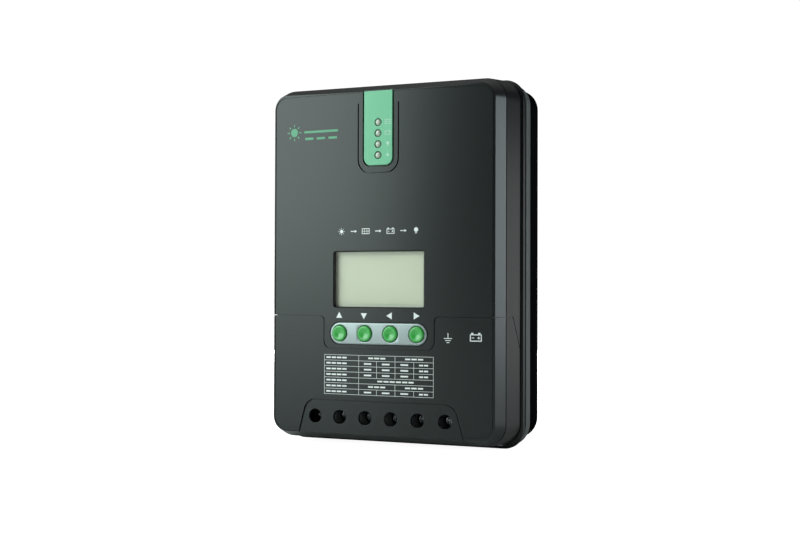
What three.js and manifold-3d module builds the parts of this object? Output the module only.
// Wall-mounted solar charge controller, in millimetres.
// X runs to the right, Z up, and the crowned face looks along -Y.
// The origin is the middle of the back, where the unit lies against the wall.
// Inside the group "unit", y is the depth behind the middle of the face and z starts at the bottom.
import * as THREE from "three";
import { mergeVertices } from "three/addons/utils/BufferGeometryUtils.js";
import Module from "manifold-3d";

const wasm = await Module();
wasm.setup();

// Case: the overall size, and the depths of its layers from the face backwards.
const HALF_WIDTH = 86.5;
const HEIGHT = 238;
const DEPTH = 72.5;
const MIDDLE = HEIGHT / 2;
const CORNER = 13;
const WALL = 2.5;
const FIT = 0.4;
const CROWN_SPAN = 80;
const CROWN_SAG = 4;
const CHAMFER_EDGE = 13.75;
const CHAMFER_IN = 5.4;
const SHOULDER = 34;
const RIM_FRONT = 36;
const RIM_BACK = 39;
const GASKET_BACK = 42.7;
const FRAME_FRONT = 43;
const FRAME_BACK = 50.7;
const SINK_FRONT = 51;
const SINK_FLOOR = 56.5;

// Chamfer's outer edge, and how much the drafted wall grows from there to the shoulder.
const EDGE_HALF = 83.05;
const EDGE_LOW = 3.6;
const EDGE_HIGH = 236.3;
const EDGE_CORNER = CORNER + 1;
const DRAFT_X = 1.95;
const DRAFT_Z = 1.4;

// Seam between the upper cover and the terminal cover.
const SEAM = 85.3;
const SEAM_TURN = 24;
const SEAM_FOOT = 65;
const TONGUE_HALF = 39.2;
const TONGUE_LOW = 64;
const TONGUE_CORNER = 5;
const SEAM_CORNER = 3;

// Display window, keypad and indicator strip.
const LCD_HALF = 32;
const LCD_LOW = 91;
const LCD_HIGH = 126.7;
const KEY_PITCH = 18.4;
const KEY_Z = 73.7;
const KEY_R = 5.1;
const KEY_PROUD = 1.2;
const KEY_TRAVEL = 0.5;
const PILL_HALF = 34.5;
const PILL_R = 6.9;
const STRIP_HALF = 10.2;
const STRIP_LOW = 182.5;
const STRIP_CORNER = 5;
const STRIP_DEEP = 1.6;
const STRIP_PROUD = 0.2;
const BEZEL_PROUD = 0.3;
const GROOVE_HALF = 14.4;
const GROOVE_LOW = 177.5;
const GROOVE_TOP = 223;
const GROOVE_WIDTH = 0.9;
const GROOVE_DEEP = 0.8;
const LED_Z = [210.3, 203.2, 196.1, 189];
const LED_R = 2.2;

// Window, display and light guide behind the opening: half width, front and back of each.
const WINDOW = [34, 3.6, 4.3];
const PANEL = [34, 4.6, 7.3];
const GUIDE = [36, 7.6, 14.7];
const WINDOW_LAP = 2;
const GUIDE_LAP = 4.5;

// Boards.
const SHOW_BOARD = 15;
const POWER_BOARD = 42;
const BOARD = 1.6;
const LIFT = 0.3;
const POST_X = 35.5;
const POST_Z = [67.6, 214];

// Six-way terminal block: screws look forwards, cables come in from below.
const WAYS = 6;
const WAY_PITCH = 18.65;
const WAY_Z = 19;
const ACCESS_R = 4.6;
const BLOCK_FRONT = 12;
const BLOCK_HALF = 55;
const BLOCK_LOW = 7;
const BLOCK_HIGH = 33;
const ROOM_HALF = 6.6;
const ROOM_FRONT = 17;
const ROOM_BACK = 38;
const ROOM_HIGH = 26.5;
const CAGE_HALF = 6.2;
const CAGE_FRONT = 21.3;
const CAGE_DEEP = 14;
const CAGE_TALL = 11;
const SCREW_HEAD = 11.5;
const BAR_HALF = 4.2;
const BAR_FRONT = 24.6;
const BAR_BACK = 26.2;
const NOTCH_HALF = 6.9;
const NOTCH_FRONT = 20;
const NOTCH_TOP = 7.5;

// Sunk panel round the screwdriver holes.
const SUNK_DEEP = 0.7;
const SUNK_FOOT = 60;
const SUNK_SIDE = [54.2, 25];
const SUNK_CENTRE = [46.6, 22.3];
const SUNK_R = 8;
const SUNK_LEAN = 0.34;

// Fasteners and wall keyholes.
const CASE_SCREW_X = 77.5;
const CASE_SCREW_Z = [60, 178];
const COVER_SCREW_X = 71.4;
const COVER_SCREW_Y = 30;
const COVER_HEAD = 2.8;
const COVER_HEAD_TOP = 3.9;
const KEYHOLE_X = 73.5;
const KEYHOLE_Z = [29, 209];
const KEYHOLE_DEEP = 12;
const KEYHOLE_LIP = 3;
const ENTRY_R = 4.6;
const SLOT_R = 2.6;
const ENTRY_DROP = 6;
const SLOT_RISE = 3;
const COUNTERBORE = 58;
const SPINE_HALF = 7;
const FIN_GAPS = 7;
const FIN_PITCH = 8;
const FIN_GAP = 5.8;

const finishes = {
  cover: new THREE.MeshStandardMaterial({ color: 0x34383a, roughness: 0.5, metalness: 0 }),
  frame: new THREE.MeshStandardMaterial({ color: 0x6f7474, roughness: 0.5, metalness: 0 }),
  sink: new THREE.MeshStandardMaterial({ color: 0x0c0d0f, roughness: 0.45, metalness: 0.6 }),
  rubber: new THREE.MeshStandardMaterial({ color: 0x0b0b0b, roughness: 0.8, metalness: 0 }),
  silver: new THREE.MeshStandardMaterial({ color: 0xb5c0c1, roughness: 0.4, metalness: 0.2 }),
  key: new THREE.MeshStandardMaterial({ color: 0x2f9a3c, roughness: 0.3, metalness: 0 }),
  strip: new THREE.MeshStandardMaterial({ color: 0x76c49b, roughness: 0.4, metalness: 0 }),
  clear: new THREE.MeshStandardMaterial({ color: 0xdfe6df, roughness: 0.1, metalness: 0 }),
  lcd: new THREE.MeshStandardMaterial({ color: 0xc6d1ba, roughness: 0.3, metalness: 0 }),
  white: new THREE.MeshStandardMaterial({ color: 0xe9e9e4, roughness: 0.5, metalness: 0 }),
  board: new THREE.MeshStandardMaterial({ color: 0x1e5a38, roughness: 0.5, metalness: 0 }),
  black: new THREE.MeshStandardMaterial({ color: 0x17181a, roughness: 0.5, metalness: 0 }),
  steel: new THREE.MeshStandardMaterial({ color: 0xb9bcc0, roughness: 0.3, metalness: 1 }),
  brass: new THREE.MeshStandardMaterial({ color: 0xc8a24a, roughness: 0.35, metalness: 1 }),
  copper: new THREE.MeshStandardMaterial({ color: 0xb0662f, roughness: 0.35, metalness: 1 }),
  can: new THREE.MeshStandardMaterial({ color: 0x23344f, roughness: 0.4, metalness: 0.2 }),
  fuse: new THREE.MeshStandardMaterial({ color: 0xd98a2b, roughness: 0.4, metalness: 0 }),
};

const unit = new THREE.Group();
unit.position.set(0, -DEPTH, -MIDDLE);
const object = new THREE.Group();
object.add(unit);

// A closed geometry as a solid that can be joined and cut.
function solid(geometry) {
  const bare = geometry.index ? geometry.toNonIndexed() : geometry;
  bare.deleteAttribute("normal");
  bare.deleteAttribute("uv");
  const merged = mergeVertices(bare, 1e-4);
  return new wasm.Manifold(
    new wasm.Mesh({
      numProp: 3,
      vertProperties: merged.attributes.position.array,
      triVerts: new Uint32Array(merged.index.array),
    }),
  );
}

// A named mesh made from a solid, added to its group.
function piece(name, shape, finish, parent = unit) {
  const made = shape.getMesh();
  const geometry = new THREE.BufferGeometry();
  geometry.setAttribute("position", new THREE.BufferAttribute(made.vertProperties, 3));
  geometry.setIndex(new THREE.BufferAttribute(made.triVerts, 1));
  geometry.computeVertexNormals();
  const mesh = new THREE.Mesh(geometry, finish);
  mesh.name = name;
  parent.add(mesh);
  return mesh;
}

// A group at a place, for pieces that are modelled round their own axis.
function spot(x, y, z) {
  const group = new THREE.Group();
  group.position.set(x, y, z);
  unit.add(group);
  return group;
}

function block(x0, x1, y0, y1, z0, z1) {
  const box = new THREE.BoxGeometry(x1 - x0, y1 - y0, z1 - z0);
  return solid(box.translate((x0 + x1) / 2, (y0 + y1) / 2, (z0 + z1) / 2));
}

// An outline drawn in X and Z, run through a range of depths.
function prism(outline, y0, y1, arcs = 5) {
  const run = new THREE.ExtrudeGeometry(outline, {
    depth: y1 - y0,
    bevelEnabled: false,
    curveSegments: arcs,
  });
  return solid(run.translate(0, 0, -y1).rotateX(Math.PI / 2));
}

// An outline drawn in Y and Z, run along X.
function sidePrism(outline, x0, x1) {
  const run = new THREE.ExtrudeGeometry(outline, { depth: x1 - x0, bevelEnabled: false });
  const turn = new THREE.Matrix4().makeBasis(
    new THREE.Vector3(0, 1, 0),
    new THREE.Vector3(0, 0, 1),
    new THREE.Vector3(1, 0, 0),
  );
  return solid(run.translate(0, 0, x0).applyMatrix4(turn));
}

// A rod along Y between two depths.
function rod(x, z, y0, y1, radius, sides = 16) {
  const bar = new THREE.CylinderGeometry(radius, radius, y1 - y0, sides);
  return solid(bar.translate(x, (y0 + y1) / 2, z));
}

// A turned solid about the Y axis, from [radius, depth] points given from the back forwards.
function turned(profile, sides = 16) {
  const points = profile.map(([radius, depth]) => new THREE.Vector2(radius, depth)).reverse();
  return solid(new THREE.LatheGeometry(points, sides));
}

// A rectangle with round corners, in X and Z.
function rounded(half, low, high, radius) {
  const shape = new THREE.Shape();
  const quarter = Math.PI / 2;
  shape.moveTo(-half + radius, low);
  shape.lineTo(half - radius, low);
  shape.absarc(half - radius, low + radius, radius, -quarter, 0);
  shape.lineTo(half, high - radius);
  shape.absarc(half - radius, high - radius, radius, 0, quarter);
  shape.lineTo(-half + radius, high);
  shape.absarc(-half + radius, high - radius, radius, quarter, 2 * quarter);
  shape.lineTo(-half, low + radius);
  shape.absarc(-half + radius, low + radius, radius, 2 * quarter, 3 * quarter);
  return shape;
}

// A polygon from [a, b] points.
function polygon(points) {
  return new THREE.Shape(points.map(([a, b]) => new THREE.Vector2(a, b)));
}

// Depth of the crowned face at a distance from the centre line.
function crown(x) {
  return CROWN_SAG * (x / CROWN_SPAN) ** 2;
}

// Everything behind the crowned face pushed back by inset, down to a depth.
function behindFace(inset, back) {
  const radius = (CROWN_SPAN ** 2 + CROWN_SAG ** 2) / (2 * CROWN_SAG);
  const reach = 95;
  const lean = Math.asin(reach / radius);
  const plan = new THREE.Shape();
  plan.moveTo(reach, back);
  plan.lineTo(-reach, back);
  plan.absarc(0, radius + inset, radius, -Math.PI / 2 - lean, -Math.PI / 2 + lean);
  const run = new THREE.ExtrudeGeometry(plan, {
    depth: HEIGHT + 20,
    bevelEnabled: false,
    curveSegments: 14,
  });
  return solid(run.translate(0, 0, -10));
}

// Filled form of the moulded cover, shrunk by inset: chamfered front, drafted wall.
function coverForm(inset) {
  const small = rounded(
    EDGE_HALF - CHAMFER_IN - inset,
    EDGE_LOW + CHAMFER_IN + inset,
    EDGE_HIGH - CHAMFER_IN - inset,
    EDGE_CORNER - CHAMFER_IN - inset,
  );
  const front = new THREE.ExtrudeGeometry(small, {
    depth: 1,
    bevelThickness: CHAMFER_EDGE,
    bevelSize: CHAMFER_IN,
    bevelSegments: 1,
    curveSegments: 5,
  });
  const chamfered = solid(front.translate(0, 0, -CHAMFER_EDGE - 1).rotateX(Math.PI / 2))
    .intersect(block(-95, 95, -1, CHAMFER_EDGE, -10, HEIGHT + 10))
    .intersect(behindFace(inset, CHAMFER_EDGE + 1));
  const edge = rounded(
    EDGE_HALF - inset,
    EDGE_LOW - MIDDLE + inset,
    EDGE_HIGH - MIDDLE - inset,
    EDGE_CORNER - inset,
  );
  const run = RIM_BACK - CHAMFER_EDGE;
  const wall = new THREE.ExtrudeGeometry(edge, { depth: run, bevelEnabled: false, curveSegments: 5 });
  const at = wall.attributes.position;
  for (let i = 0; i < at.count; i += 1) {
    const share = Math.min(1, (run - at.getZ(i)) / (SHOULDER - CHAMFER_EDGE));
    at.setX(i, at.getX(i) * (1 + (share * DRAFT_X) / EDGE_HALF));
    at.setY(i, at.getY(i) * (1 + (share * DRAFT_Z) / MIDDLE));
  }
  const drafted = solid(wall.translate(0, MIDDLE, -RIM_BACK).rotateX(Math.PI / 2));
  return chamfered.add(drafted);
}

// The whole moulded shell with its rim, before the seam parts it in two.
function coverShell() {
  const rim = prism(rounded(HALF_WIDTH, 0, HEIGHT, CORNER), RIM_FRONT, RIM_BACK);
  const through = prism(rounded(EDGE_HALF - 1, 4.2, HEIGHT - 4.2, 9), SHOULDER, RIM_BACK + 1);
  return coverForm(0).add(rim).subtract(coverForm(WALL)).subtract(through);
}

// The region of the terminal cover, drawn back by play on every side of the seam.
function terminalRegion(play) {
  const top = SEAM - play;
  const half = TONGUE_HALF + play;
  const low = TONGUE_LOW - play;
  const quarter = Math.PI / 2;
  const face = new THREE.Shape();
  face.moveTo(-100, -10);
  face.lineTo(100, -10);
  face.lineTo(100, top);
  face.lineTo(half + SEAM_CORNER, top);
  face.absarc(half + SEAM_CORNER, top - SEAM_CORNER, SEAM_CORNER, quarter, 2 * quarter);
  face.lineTo(half, low + TONGUE_CORNER);
  face.absarc(half - TONGUE_CORNER, low + TONGUE_CORNER, TONGUE_CORNER, 0, -quarter, true);
  face.lineTo(-half + TONGUE_CORNER, low);
  face.absarc(-half + TONGUE_CORNER, low + TONGUE_CORNER, TONGUE_CORNER, -quarter, -2 * quarter, true);
  face.lineTo(-half, top - SEAM_CORNER);
  face.absarc(-half - SEAM_CORNER, top - SEAM_CORNER, SEAM_CORNER, 0, quarter);
  face.lineTo(-100, top);
  const side = polygon([
    [-5, -5],
    [SHOULDER - play, -5],
    [SHOULDER - play, SEAM_FOOT - play],
    [SEAM_TURN - play, top],
    [-5, top],
  ]);
  return prism(face, -5, SHOULDER + 5).intersect(sidePrism(side, -100, 100));
}

// Outline of the indicator strip: straight sides, round lower corners, open at the top.
function stripOutline(grow) {
  return rounded(STRIP_HALF + grow, STRIP_LOW - grow, HEIGHT + 20, STRIP_CORNER + grow);
}

function pillOutline(grow) {
  return rounded(PILL_HALF + grow, KEY_Z - PILL_R - grow, KEY_Z + PILL_R + grow, PILL_R + grow - 0.01);
}

function keyX(index) {
  return (index - 1.5) * KEY_PITCH;
}

function wayX(index) {
  return (index - (WAYS - 1) / 2) * WAY_PITCH;
}

// Extruded aluminium heat sink: a floor with fins that run up and down, a spine and two rails.
function heatSink() {
  let sink = prism(rounded(83.6, 3.8, 236.2, 14), SINK_FRONT, DEPTH);
  for (const side of [-1, 1]) {
    for (let i = 0; i < FIN_GAPS; i += 1) {
      const middle = side * (SPINE_HALF + FIN_GAP / 2 + i * FIN_PITCH);
      const gap = block(middle - FIN_GAP / 2, middle + FIN_GAP / 2, SINK_FLOOR, DEPTH + 1, -1, HEIGHT + 1);
      sink = sink.subtract(gap);
    }
    for (const z of KEYHOLE_Z) {
      const x = side * KEYHOLE_X;
      const floor = DEPTH - KEYHOLE_DEEP;
      const low = z - ENTRY_DROP;
      const high = z + SLOT_RISE;
      sink = sink
        .subtract(rod(x, low, floor, DEPTH + 1, ENTRY_R))
        .subtract(block(x - SLOT_R, x + SLOT_R, floor, DEPTH + 1, low, high))
        .subtract(rod(x, high, floor, DEPTH + 1, SLOT_R, 10))
        .subtract(block(x - ENTRY_R, x + ENTRY_R, floor, DEPTH - KEYHOLE_LIP, low, high + ENTRY_R));
    }
    for (const z of CASE_SCREW_Z) {
      const x = side * CASE_SCREW_X;
      sink = sink.subtract(rod(x, z, SINK_FRONT - 1, DEPTH, 2.3, 12));
      sink = sink.subtract(rod(x, z, COUNTERBORE, DEPTH + 1, 4.3));
    }
  }
  return sink;
}

// Plastic frame between the cover and the heat sink, with two lugs for the terminal cover.
function baseFrame() {
  let frame = prism(rounded(86, 0.5, HEIGHT - 0.5, 15), FRAME_FRONT, FRAME_BACK)
    .subtract(prism(rounded(71, 13.3, HEIGHT - 12, 6), FRAME_FRONT - 1, FRAME_BACK + 1, 4));
  for (const side of [-1, 1]) {
    const x = side * COVER_SCREW_X;
    const lug = block(x - 2.8, x + 2.8, 26, FRAME_BACK - 3, 6.5, 13);
    frame = frame.add(lug).subtract(uprightRod(x, COVER_SCREW_Y, 6, 12.9, 1.6));
    for (const z of CASE_SCREW_Z) {
      frame = frame.subtract(rod(side * CASE_SCREW_X, z, FRAME_FRONT - 1, FRAME_BACK + 1, 2.3, 12));
    }
  }
  return frame;
}

// A rod that stands along Z.
function uprightRod(x, y, z0, z1, radius, sides = 12) {
  const bar = new THREE.CylinderGeometry(radius, radius, z1 - z0, sides);
  return solid(bar.rotateX(Math.PI / 2).translate(x, y, (z0 + z1) / 2));
}

// Rubber seal that fills the dark groove behind the rim.
function caseGasket() {
  return prism(rounded(84, 2.2, HEIGHT - 2.2, 13), RIM_BACK + LIFT, GASKET_BACK)
    .subtract(prism(rounded(81.5, 4.7, HEIGHT - 4.7, 10.5), RIM_BACK, FRAME_FRONT));
}

// U-shaped groove that runs round the indicator strip.
function stripGroove() {
  const side = GROOVE_WIDTH / 2;
  const outer = rounded(GROOVE_HALF + side, GROOVE_LOW - side, GROOVE_TOP + 40, 9.15 + side);
  const inner = rounded(GROOVE_HALF - side, GROOVE_LOW + side, GROOVE_TOP + 50, 9.15 - side);
  return prism(outer, -1, 8)
    .subtract(prism(inner, -2, 9))
    .intersect(block(-20, 20, -3, 10, 150, GROOVE_TOP))
    .subtract(behindFace(GROOVE_DEEP, 12));
}

// Board posts with their spigots, and the bosses that the case screws bite into.
function coverBosses() {
  const [lower, upper] = CASE_SCREW_Z;
  const bosses = [];
  for (const side of [-1, 1]) {
    for (const z of POST_Z) {
      bosses.push(rod(side * POST_X, z, 1, SHOW_BOARD - LIFT, 2.6, 12));
      bosses.push(rod(side * POST_X, z, 5, SHOW_BOARD + BOARD + 0.8, 1.3, 12));
    }
    bosses.push(rod(side * CASE_SCREW_X, upper, 1, RIM_BACK, 5.4));
    bosses.push(rod(side * CASE_SCREW_X, lower, SHOULDER + 0.6, RIM_BACK, 5.4));
  }
  return bosses.reduce((all, boss) => all.add(boss));
}

// Upper cover: face, display window, keypad seat, strip seat, posts and screw bosses.
function upperCover() {
  const room = coverForm(WALL - 0.2);
  let cover = coverShell().subtract(terminalRegion(0)).add(coverBosses().intersect(room));
  for (const side of [-1, 1]) {
    for (const z of CASE_SCREW_Z) {
      cover = cover.subtract(rod(side * CASE_SCREW_X, z, 28, RIM_BACK + 1, 2.1, 12));
    }
  }
  const collar = prism(rounded(LCD_HALF + 1.5, LCD_LOW - 1.5, LCD_HIGH + 1.5, 2), 1, 3.3, 4);
  cover = cover
    .add(collar.intersect(room))
    .subtract(prism(rounded(LCD_HALF, LCD_LOW, LCD_HIGH, 1.2), -1, 8, 4))
    .subtract(prism(pillOutline(0.5), -1, 8).subtract(behindFace(1.2, 12)))
    .subtract(prism(stripOutline(0.9), -1, 8).subtract(behindFace(STRIP_DEEP, 12)))
    .subtract(stripGroove());
  for (let i = 0; i < 4; i += 1) {
    cover = cover.subtract(rod(keyX(i), KEY_Z, -1, 6, KEY_R + 0.5));
    cover = cover.subtract(rod(0, LED_Z[i], -1, 6, LED_R + 0.3, 12));
  }
  return cover;
}

// Terminal cover: screwdriver holes in a sunk panel, and notches for the cables below.
function terminalCover() {
  const panel = new THREE.Shape();
  const [sideX, sideZ] = SUNK_SIDE;
  const [centreX, centreZ] = SUNK_CENTRE;
  panel.moveTo(-SUNK_FOOT, 5);
  panel.lineTo(SUNK_FOOT, 5);
  panel.lineTo(sideX, sideZ);
  panel.absarc(centreX, centreZ, SUNK_R, SUNK_LEAN, Math.PI / 2);
  panel.lineTo(-centreX, centreZ + SUNK_R);
  panel.absarc(-centreX, centreZ, SUNK_R, Math.PI / 2, Math.PI - SUNK_LEAN);
  let cover = coverShell()
    .intersect(terminalRegion(FIT))
    .subtract(prism(panel, -1, 8).subtract(behindFace(SUNK_DEEP, 12)));
  for (let i = 0; i < WAYS; i += 1) {
    const x = wayX(i);
    cover = cover
      .subtract(rod(x, WAY_Z, -1, 8, ACCESS_R))
      .subtract(block(x - NOTCH_HALF, x + NOTCH_HALF, NOTCH_FRONT, SHOULDER + 1, -1, NOTCH_TOP));
  }
  cover = cover
    .subtract(block(-66.6, -56, NOTCH_FRONT, SHOULDER + 1, -1, NOTCH_TOP))
    .subtract(block(57, 65.5, NOTCH_FRONT + 2, SHOULDER + 1, -1, NOTCH_TOP));
  for (const side of [-1, 1]) {
    const x = side * COVER_SCREW_X;
    cover = cover
      .subtract(uprightRod(x, COVER_SCREW_Y, -1, 8, 2))
      .subtract(uprightRod(x, COVER_SCREW_Y, -1, COVER_HEAD_TOP, 3.4, 16));
  }
  return cover;
}

// A thin plate that follows the crown, its front standing proud of the face.
function crownedPlate(outline, proud, thick) {
  return prism(outline, -2, 9).intersect(behindFace(-proud, 12)).subtract(behindFace(thick - proud, 13));
}

function keypadBezel() {
  let bezel = crownedPlate(pillOutline(0), BEZEL_PROUD, 1.2);
  for (let i = 0; i < 4; i += 1) {
    bezel = bezel.subtract(rod(keyX(i), KEY_Z, -2, 6, KEY_R + 0.3));
  }
  return bezel;
}

function indicatorStrip() {
  let strip = crownedPlate(stripOutline(0), STRIP_PROUD, 1.5).intersect(
    block(-20, 20, -3, 8, 150, EDGE_HIGH - CHAMFER_IN),
  );
  for (const z of LED_Z) {
    strip = strip.subtract(rod(0, z, -2, 6, LED_R + 0.3, 12));
  }
  return strip;
}

// Domed key cap with a flange behind the cover and a stem for its switch.
function keyCap() {
  return turned([
    [0, 10.1],
    [1.6, 10.1],
    [1.6, 8],
    [2.4, 8],
    [2.4, 4.3],
    [6.2, 4.3],
    [6.2, 3.1],
    [KEY_R, 3.1],
    [KEY_R, -0.3],
    [4.3, -0.75],
    [2.6, -1.05],
    [0, -KEY_PROUD],
  ]);
}

// Tactile switch on the display board, its own plunger well covered by the key's stem.
function tactSwitch() {
  const body = block(-3, 3, 11.4 + KEY_TRAVEL, SHOW_BOARD - LIFT, -3, 3);
  return body.add(rod(0, 0, 11.2, 12.4, 1.7, 12));
}

// Indicator lamp: domed lens, flange, and two legs down to the board.
function lamp() {
  const lens = turned([
    [0, 8.6],
    [2.6, 8.6],
    [2.6, 7.6],
    [LED_R, 7.6],
    [LED_R, 0.2],
    [1.6, -0.4],
    [0, -0.7],
  ], 12);
  return lens
    .add(block(-1.5, -1, 8, SHOW_BOARD - LIFT, -0.25, 0.25))
    .add(block(1, 1.5, 8, SHOW_BOARD - LIFT, -0.25, 0.25));
}

function displayBoard() {
  let board = prism(rounded(42, 63, 218, 2), SHOW_BOARD, SHOW_BOARD + BOARD, 3);
  for (const side of [-1, 1]) {
    for (const z of POST_Z) {
      board = board.subtract(rod(side * POST_X, z, SHOW_BOARD - 1, SHOW_BOARD + 3, 1.65, 12));
    }
  }
  return board;
}

function terminalBlock() {
  let body = block(-BLOCK_HALF, BLOCK_HALF, BLOCK_FRONT, POWER_BOARD - LIFT, BLOCK_LOW, BLOCK_HIGH);
  for (let i = 0; i < WAYS; i += 1) {
    const x = wayX(i);
    const bar = block(x - BAR_HALF, x + BAR_HALF, BAR_FRONT, BAR_BACK, 9.5, ROOM_HIGH + 1);
    body = body
      .subtract(rod(x, WAY_Z, BLOCK_FRONT - 1, 15, 4.8))
      .subtract(rod(x, WAY_Z, 14, ROOM_FRONT + 1, 2.4, 12))
      .subtract(block(x - ROOM_HALF, x + ROOM_HALF, ROOM_FRONT, ROOM_BACK, BLOCK_LOW - 1, ROOM_HIGH))
      .add(bar);
  }
  return body;
}

// Cross-slotted terminal screw; its head stays put while its thread draws the cage forwards.
function terminalScrew() {
  return turned([
    [0, 24.2],
    [1.7, 24.2],
    [2, 23.8],
    [2, 14.6],
    [4.1, 14.6],
    [4.1, 12.2],
    [3.5, SCREW_HEAD],
    [0, SCREW_HEAD],
  ], 14)
    .subtract(block(-2.9, 2.9, SCREW_HEAD - 1, SCREW_HEAD + 1.6, -0.5, 0.5))
    .subtract(block(-0.5, 0.5, SCREW_HEAD - 1, SCREW_HEAD + 1.6, -2.9, 2.9));
}

// Clamp cage: a square tube round the contact bar, tapped through its front wall.
function clampCage() {
  const back = CAGE_FRONT + CAGE_DEEP;
  const half = CAGE_TALL / 2;
  return block(-CAGE_HALF, CAGE_HALF, CAGE_FRONT, back, -half, half)
    .subtract(block(-4.7, 4.7, CAGE_FRONT + 3, back - 2, -half - 1, half + 1))
    .subtract(rod(0, 0, CAGE_FRONT - 1, CAGE_FRONT + 4, 2.3, 12));
}

// Power transistor lying on the heat sink, its three legs bent up to the board.
function transistor() {
  const back = SINK_FRONT - LIFT;
  let body = block(-5, 5, back - 4.4, back, -8, 1)
    .add(block(-5, 5, back - 1.3, back, 0, 7))
    .subtract(rod(0, 4, back - 3, back + 1, 1.8, 12));
  for (const x of [-2.54, 0, 2.54]) {
    body = body.add(block(x - 0.4, x + 0.4, back - 3, back - 2.4, -12, -7));
    body = body.add(block(x - 0.4, x + 0.4, POWER_BOARD + BOARD + LIFT, back - 2.4, -12.6, -12));
  }
  return body;
}

// Wound ring core of the step-down converter.
function inductor() {
  const front = 20.5;
  const back = POWER_BOARD - LIFT;
  return turned([
    [10, front + 3],
    [10, back - 3],
    [12, back],
    [20, back],
    [23, back - 3],
    [23, front + 3],
    [20, front],
    [12, front],
    [10, front + 3],
  ], 20);
}

function capacitor() {
  const back = POWER_BOARD - LIFT;
  return turned([
    [0, back],
    [9, back],
    [9, 11],
    [8.4, 10],
    [0, 10],
  ]);
}

// Pan-head screw along Y, its head at the back.
function caseScrew() {
  return turned([
    [0, 61],
    [3, 61],
    [3.9, 60.2],
    [3.9, 58.3],
    [1.8, 58.3],
    [1.8, 32],
    [0, 32],
  ], 12).subtract(block(-2.4, 2.4, 60, 62, -0.5, 0.5))
    .subtract(block(-0.5, 0.5, 60, 62, -2.4, 2.4));
}

// Screw that holds the terminal cover, driven in from below, its head sunk in a counterbore.
function coverScrew() {
  return uprightRod(0, 0, COVER_HEAD + 0.5, 12.4, 1.3)
    .add(uprightRod(0, 0, COVER_HEAD, COVER_HEAD_TOP - LIFT, 3));
}

// Case.
piece("heat_sink", heatSink(), finishes.sink);
piece("base_frame", baseFrame(), finishes.frame);
piece("case_gasket", caseGasket(), finishes.rubber);
piece("upper_cover", upperCover(), finishes.cover);
piece("terminal_cover", terminalCover(), finishes.cover);

// Display and keypad.
piece("keypad_bezel", keypadBezel(), finishes.silver);
piece("indicator_strip", indicatorStrip(), finishes.strip);
const sheet = ([half, y0, y1], lap) => block(-half, half, y0, y1, LCD_LOW - lap, LCD_HIGH + lap);
piece("lcd_window", sheet(WINDOW, WINDOW_LAP), finishes.clear);
piece("lcd_panel", sheet(PANEL, WINDOW_LAP + 0.5), finishes.lcd);
piece("lcd_backlight", sheet(GUIDE, GUIDE_LAP), finishes.white);
piece("display_board", displayBoard(), finishes.board);
["up", "down", "left", "right"].forEach((way, i) => {
  const place = spot(keyX(i), crown(keyX(i)), KEY_Z);
  piece("button_" + way, keyCap(), finishes.key, place);
  const seat = spot(keyX(i), 0, KEY_Z);
  piece("switch_" + way, tactSwitch(), finishes.black, seat);
});
["array", "battery", "load", "fault"].forEach((use, i) => {
  piece("led_" + use, lamp(), finishes.clear, spot(0, 0, LED_Z[i]));
});

// Power board and what it carries.
const powerBoard = prism(rounded(69.5, 14.5, 224, 2), POWER_BOARD, POWER_BOARD + BOARD, 3);
piece("power_board", powerBoard, finishes.board);
const header = block(-16, 16, SHOW_BOARD + BOARD + LIFT, POWER_BOARD - LIFT, 138, 143);
piece("link_header", header, finishes.black);
piece("control_chip", block(-17, -3, 40.2, POWER_BOARD - LIFT, 55, 69), finishes.black);
piece("fuse", block(-64, -45, 24, POWER_BOARD - LIFT, 58, 64), finishes.fuse);
piece("inductor", inductor(), finishes.copper, spot(-38, 0, 182));
[112, 134, 156].forEach((z, i) => {
  piece("capacitor_" + (i + 1), capacitor(), finishes.can, spot(55, 0, z));
});
[-45, -15, 15, 45].forEach((x, i) => {
  piece("transistor_" + (i + 1), transistor(), finishes.black, spot(x, 0, 100));
});
[[-63, 44], [63, 44], [-63, 216], [63, 216]].forEach(([x, z], i) => {
  const post = rod(0, 0, POWER_BOARD + BOARD + LIFT, SINK_FRONT - LIFT, 3, 6);
  piece("standoff_" + (i + 1), post, finishes.brass, spot(x, 0, z));
});

// Terminals and the two small sockets beside them.
piece("terminal_block", terminalBlock(), finishes.black);
for (let i = 0; i < WAYS; i += 1) {
  const place = spot(wayX(i), 0, WAY_Z);
  piece("terminal_screw_" + (i + 1), terminalScrew(), finishes.steel, place);
  piece("clamp_cage_" + (i + 1), clampCage(), finishes.brass, place);
}
const dataSocket = block(-66.2, -55.4, 20.6, POWER_BOARD - LIFT, 7, 22)
  .subtract(block(-65, -56.6, 22, 33, 6, 19));
piece("data_socket", dataSocket, finishes.black);
const sensorSocket = block(57.4, 65.2, 23.6, POWER_BOARD - LIFT, 7, 17)
  .subtract(block(58.4, 64.2, 25, 33, 6, 15));
piece("sensor_socket", sensorSocket, finishes.white);

// Fasteners.
[[-1, 0], [1, 0], [-1, 1], [1, 1]].forEach(([side, level], i) => {
  const place = spot(side * CASE_SCREW_X, 0, CASE_SCREW_Z[level]);
  piece("case_screw_" + (i + 1), caseScrew(), finishes.steel, place);
});
piece("cover_screw_left", coverScrew(), finishes.steel, spot(-COVER_SCREW_X, COVER_SCREW_Y, 0));
piece("cover_screw_right", coverScrew(), finishes.steel, spot(COVER_SCREW_X, COVER_SCREW_Y, 0));

export default object;
